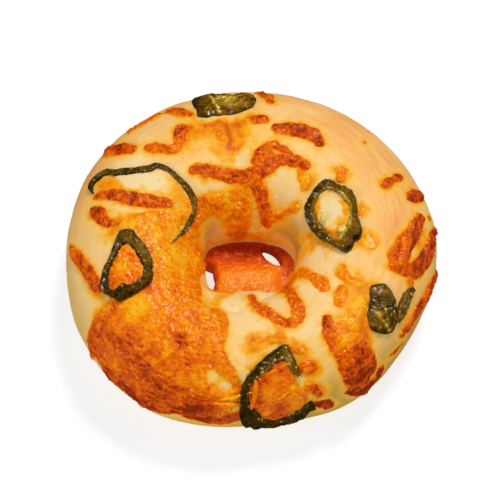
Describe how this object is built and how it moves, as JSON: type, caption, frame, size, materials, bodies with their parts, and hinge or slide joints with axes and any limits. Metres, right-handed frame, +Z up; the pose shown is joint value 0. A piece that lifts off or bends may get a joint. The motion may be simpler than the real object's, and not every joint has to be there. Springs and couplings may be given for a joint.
{
  "type": "cheese and pepper bagel",
  "caption": "Round bread ring baked with melted cheese shreds and sheets and with green pepper slices on top.",
  "frame": {"origin": "under the middle of the whole outline, on the surface the bagel rests on", "axes": "+Z up out of the baked top, +X to the right and -Y towards the near side, where the ring is lowest"},
  "size_m": [0.1099, 0.108, 0.0391],
  "materials": {
    "crust": "pale baked crust with browned cheese",
    "cheese": "oily melted cheese",
    "pepper": "wrinkled glossy skin"
  },
  "bodies": {
    "root": {"bagel": "crust", "hole_cheese": "cheese", "pepper_slice_big_arc": "pepper", "pepper_slice_left": "pepper", "pepper_slice_right": "pepper", "pepper_slice_bottom": "pepper", "pepper_slice_top": "pepper", "pepper_slice_lower_right": "pepper"}
  },
  "joints": []
}
